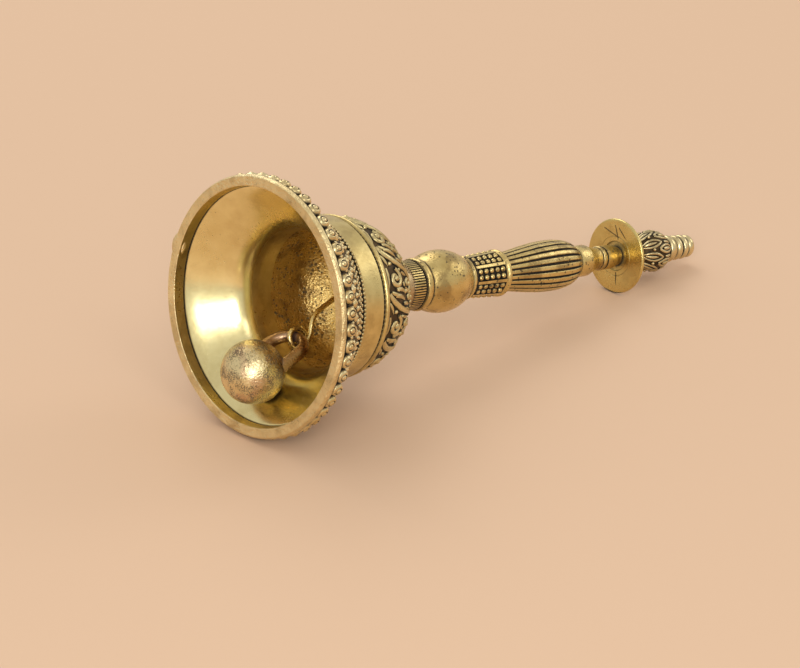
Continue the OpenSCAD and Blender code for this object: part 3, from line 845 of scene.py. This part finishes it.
scale_some(grip, flute_side, 0.975)
scale_some(grip, flute_bottom, 0.9)
smooth(grip, 50)
finish_piece(grip, LAY, "handle", "bell", ["fluted_grip"])

# %% [markdown]
# The stem is plain turning: a tapered collar, a thin neck, a ring between two lines and a cylinder
# that drops to the spigot.

# %% Turn the stem
stem_outline = ([(0, STEM_Z), (4.0, STEM_Z), (4.5, 124.5), (4.65, 125.2), (4.65, 128.8), (4.45, 129.4)]
                + [(3.95, 130.6), (3.45, 132.1), (3.3, 132.8), (3.3, 134.2), (3.05, 134.35), (3.05, 134.5)]
                + arc((3.15, 135.3), (0.52, 0.75), -70, 70, 6) + [(3.1, 136.1), (3.1, 136.35), (3.45, 136.5)]
                + [(3.55, 137.2), (3.5, 139.8), (3.3, 140.5), (2.8, 140.7), (2.8, 143.05), (0, 143.05)])
stem = on_the_lathe("stem_turned", stem_outline, 96)
smooth(stem, 35)
finish_piece(stem, LAY, "handle", "bell", ["handle_stem"])

# %% [markdown]
# The disc has a worn round edge, a sunk ring round the stem and one engraved circle. The circle is a
# step in the outline, so it catches the light all round as the real cut does.

# %% Turn the disc
disc_outline = ([(0, 143.1), (4.3, 143.1), (4.5, 142.9), (4.55, DISC_Z + 0.02), (5.75, DISC_Z)]
                + [(5.82, DISC_Z + 0.08), (5.98, DISC_Z + 0.08), (6.05, DISC_Z), (8.4, DISC_Z - 0.03)]
                + [(10.55, DISC_Z)] + arc((10.65, 143.15), (0.45, 0.54), -80, 80, 8)
                + [(10.5, BUD_Z), (7, BUD_Z + 0.02), (0, BUD_Z)])
disc = on_the_lathe("disc_worn", disc_outline, 160)
smooth(disc, 35)
finish_piece(disc, LAY, "disc", "bell", ["disc_plate"])

# %% [markdown]
# Old tool marks full of dirt scratch the disc's face that looks to the mouth. They are thin dark
# ribs let into the face, because a groove this fine would need a much denser disc.

# %% Scratch the disc
strokes = joined("disc_strokes", [
    rib([(0.1, 8.7), (-0.5, 8.0), (-1.5, 7.5), (-2.4, 6.6), (-3.3, 6.0)], 0.15, 0.3),
    rib([(5.9, 7.1), (4.5, 6.9), (2.8, 6.2), (1.2, 6.3), (-0.4, 5.7)], 0.14, 0.3),
    rib([(1.8, 9.0), (1.1, 8.2), (0.8, 7.0), (0.1, 6.0), (-0.2, 4.9)], 0.14, 0.3),
    rib([(-1.2, -4.7), (-1.5, -5.7), (-1.5, -6.7), (-1.9, -7.6), (-2.0, -8.6)], 0.14, 0.3),
])
finish_piece(strokes, LAY @ Matrix.Translation((0, 0, (DISC_Z - 0.02) * MM)), "bed", "bell")

# %% [markdown]
# The finial's bud is a round cage of petals on a thin neck. Its dark core is turned, and the petals
# are ribs made flat and rolled round it, as on the shoulder. Two layers of petals share the bed, and
# the upper one is shifted by half a petal.

# %% Turn the bud and roll its petals
PETALS = 8
BUD_BED = (5.8, 6.8, 157.3, -66)
bud_outline = ([(0, BUD_Z), (3.6, BUD_Z), (3.7, 144.6), (3.0, 145.3), (2.8, 146), (2.8, 148.6), (3.3, 149.3),
                (3.35, 150.0), (2.7, 150.8)]
               + arc((0, BUD_BED[2]), BUD_BED[:2], -62, 62, 30) + [(2.3, 163.4), (0, TIP_Z)])
bud = on_the_lathe("bud_core", bud_outline, 96)
smooth(bud, 45)
finish_piece(bud, LAY, "finial", "bell", ["finial_bud"],
             [("bed", lambda r, z, a: 151 < z < 163 and r > 2.6)])

petal_parts = [
    rib([(0, 0.2), (-1.25, 1.8), (-1.75, 3.8), (-1.2, 5.8), (0, 7.4)], 0.5, 0.6),
    rib([(0, 0.2), (1.25, 1.8), (1.75, 3.8), (1.2, 5.8), (0, 7.4)], 0.5, 0.6),
    leaf((0, 1.6), (0, 5.8), 0, 0.75),
    rib([(2.08, 6.2), (0.8, 7.8), (0.6, 9.4), (1.0, 11.2), (2.08, 12.8)], 0.5, 0.6),
    rib([(2.08, 6.2), (3.36, 7.8), (3.56, 9.4), (3.16, 11.2), (2.08, 12.8)], 0.5, 0.6),
    leaf((2.08, 7.6), (2.08, 11.8), 0, 0.75), leaf((0, 8.4), (0, 12.4), 0, 0.6), lobe((2.08, 4.2), 0.55),
]
petals = rolled_round("bud_petals", joined("petal_motif", petal_parts), PETALS, BUD_BED)
finish_piece(petals, LAY, "finial", "bell")

# %% [markdown]
# The tip is a pile of four rounded rings, each smaller than the one before, with a flat end. One
# outline turns them all, with an arc for each ring.

# %% Turn the tip
tip_outline = ([(0, 163.2), (3.2, 163.3)] + arc((3.3, 164.6), (0.75, 1.2), -80, 80, 8)
               + [(2.9, 166.1), (2.9, 166.7)] + arc((3.15, 167.8), (0.6, 0.85), -80, 80, 6)
               + [(2.9, 168.9), (2.9, 169.3)] + arc((3.1, 170.3), (0.55, 0.85), -80, 80, 6)
               + [(2.85, 171.4), (2.85, 171.8)] + arc((2.85, 172.9), (0.55, 1.0), -80, 80, 6)
               + [(2.7, 174.1), (2.5, 174.4), (2.1, 174.5), (0, 174.5)])
tip = on_the_lathe("tip_rings", tip_outline, 96)
smooth(tip, 40)
finish_piece(tip, LAY, "finial", "bell", ["finial_tip"])

# %% [markdown]
# The clapper's ball is a rough casting. A fine ball of triangles has no poles, and broad clouds push
# its skin in by a fifth of a millimetre, so that its highlight breaks up as on real cast brass.

# %% Cast the ball
BALL_R, LOOP_LEN = 9.0, 17.2
LUMP_SIZE, LUMP_HEIGHT = 5, 0.22
ball_z = -(hook_len + LOOP_LEN)
deselect_all()
bpy.ops.mesh.primitive_ico_sphere_add(subdivisions=6, radius=BALL_R * MM)
ball = bpy.context.object
ball.name = "ball_cast"
lumps = bpy.data.textures.new("casting_lumps", "CLOUDS")
lumps.noise_scale = LUMP_SIZE * MM
lump_modifier = ball.modifiers.new("lumps", "DISPLACE")
lump_modifier.texture = lumps
lump_modifier.strength = LUMP_HEIGHT * MM
lump_modifier.mid_level = 0.8
only(ball)
bpy.ops.object.modifier_apply(modifier="lumps")
bpy.ops.object.shade_smooth()
ball_place = HANG @ Matrix.Translation((0, 0, ball_z * MM))
finish_piece(ball, ball_place, "ball", "clapper", ["clapper_ball"])

# %% [markdown]
# Wires are curves with a round bevel, made a mesh when their line is right. Each point has its own
# radius, so a wire can be thin at its cut ends and a leg can be fatter than the bar. The loop is a
# red bronze arch whose legs run into the ball.

# %% Bend the loop
LOOP_HALF_W, LOOP_CORNER, LEG_R, BAR_R, LEG_END = 5.6, 5.4, 1.8, 1.4, 5.2


def bent_wire(name, points, radii):
    """A round wire through points, with its radius at each, in millimetres."""
    deselect_all()
    bpy.ops.curve.primitive_bezier_curve_add()
    obj = bpy.context.object
    obj.name = name
    obj.data.splines.clear()
    line = obj.data.splines.new("POLY")
    line.points.add(len(points) - 1)
    for point, (x, y, z), radius in zip(line.points, points, radii):
        point.co = (x * MM, y * MM, z * MM, 1)
        point.radius = radius
    obj.data.bevel_depth = MM
    obj.data.bevel_resolution = 6
    obj.data.use_fill_caps = True
    only(obj)
    bpy.ops.object.convert(target="MESH")
    return smooth(obj, 60)


leg_end = ball_z + LEG_END
corner_z = -hook_len - LOOP_CORNER
half_arch = [(LOOP_HALF_W, 0, leg_end), (LOOP_HALF_W, 0, (leg_end + corner_z) / 2)]
corner = arc((LOOP_HALF_W - LOOP_CORNER, corner_z), (LOOP_CORNER, LOOP_CORNER), 0, 90, 12)
half_arch += [(x, 0, z) for x, z in corner]
half_radii = [LEG_R, LEG_R] + [LEG_R - (LEG_R - BAR_R) * max(0, i - 3) / 9 for i in range(13)]
arch = bent_wire("loop_arch", half_arch + [(-x, y, z) for x, y, z in reversed(half_arch)],
                 half_radii + half_radii[::-1])
finish_piece(arch, HANG, "loop", "clapper", ["clapper_loop"])

# %% [markdown]
# The clapper hangs on an S-shaped wire from the staple inside the crown: a curl round the staple, a
# shank that crosses over in a soft S, and a curl round the loop's bar. The hook is turned a little on
# its own length, as a loose hook hangs, and the curls stay round their bars.

# %% Bend the hook
CURL_R, WIRE_R, CURL_SWEEP, CURL_TURN = 2.6, 0.75, 285, 25
upper_curl = arc((0, 0), (CURL_R, CURL_R), CURL_SWEEP, 0, 30)
lower_curl = arc((0, -hook_len), (CURL_R, CURL_R), 180, 180 + CURL_SWEEP, 30)
shank = [(2.6, -3), (2.6, -8), (2.6, -11.5), (2.5, -13.3), (2.2, -14.8), (1.6, -16), (0.8, -17),
         (-0.1, -17.9), (-0.95, -18.7), (-1.7, -19.6), (-2.2, -20.5), (-2.5, -21.5), (-2.6, -22.4)]
hook_line = [(0, y, z) for y, z in upper_curl + shank + lower_curl]
hook_radii = [WIRE_R * min(1, 0.72 + 0.07 * min(i, len(hook_line) - 1 - i)) for i in range(len(hook_line))]
hook = bent_wire("hook_wire", hook_line, hook_radii)
finish_piece(hook, HANG @ Matrix.Rotation(math.radians(-CURL_TURN), 4, "Z"), "wire", "hanger",
             ["hanger_hook"])

# %% [markdown]
# The staple in the crown and the rod in the handle have their true shape in the exact part already,
# and hardly show, so they only get their brass.

# %% Paint the staple and the rod
for node in ("crown_eye", "tie_rod"):
    frame["nodes"][node].data.materials.clear()
    frame["nodes"][node].data.materials.append(brass["wire"])
    print(node, "painted")
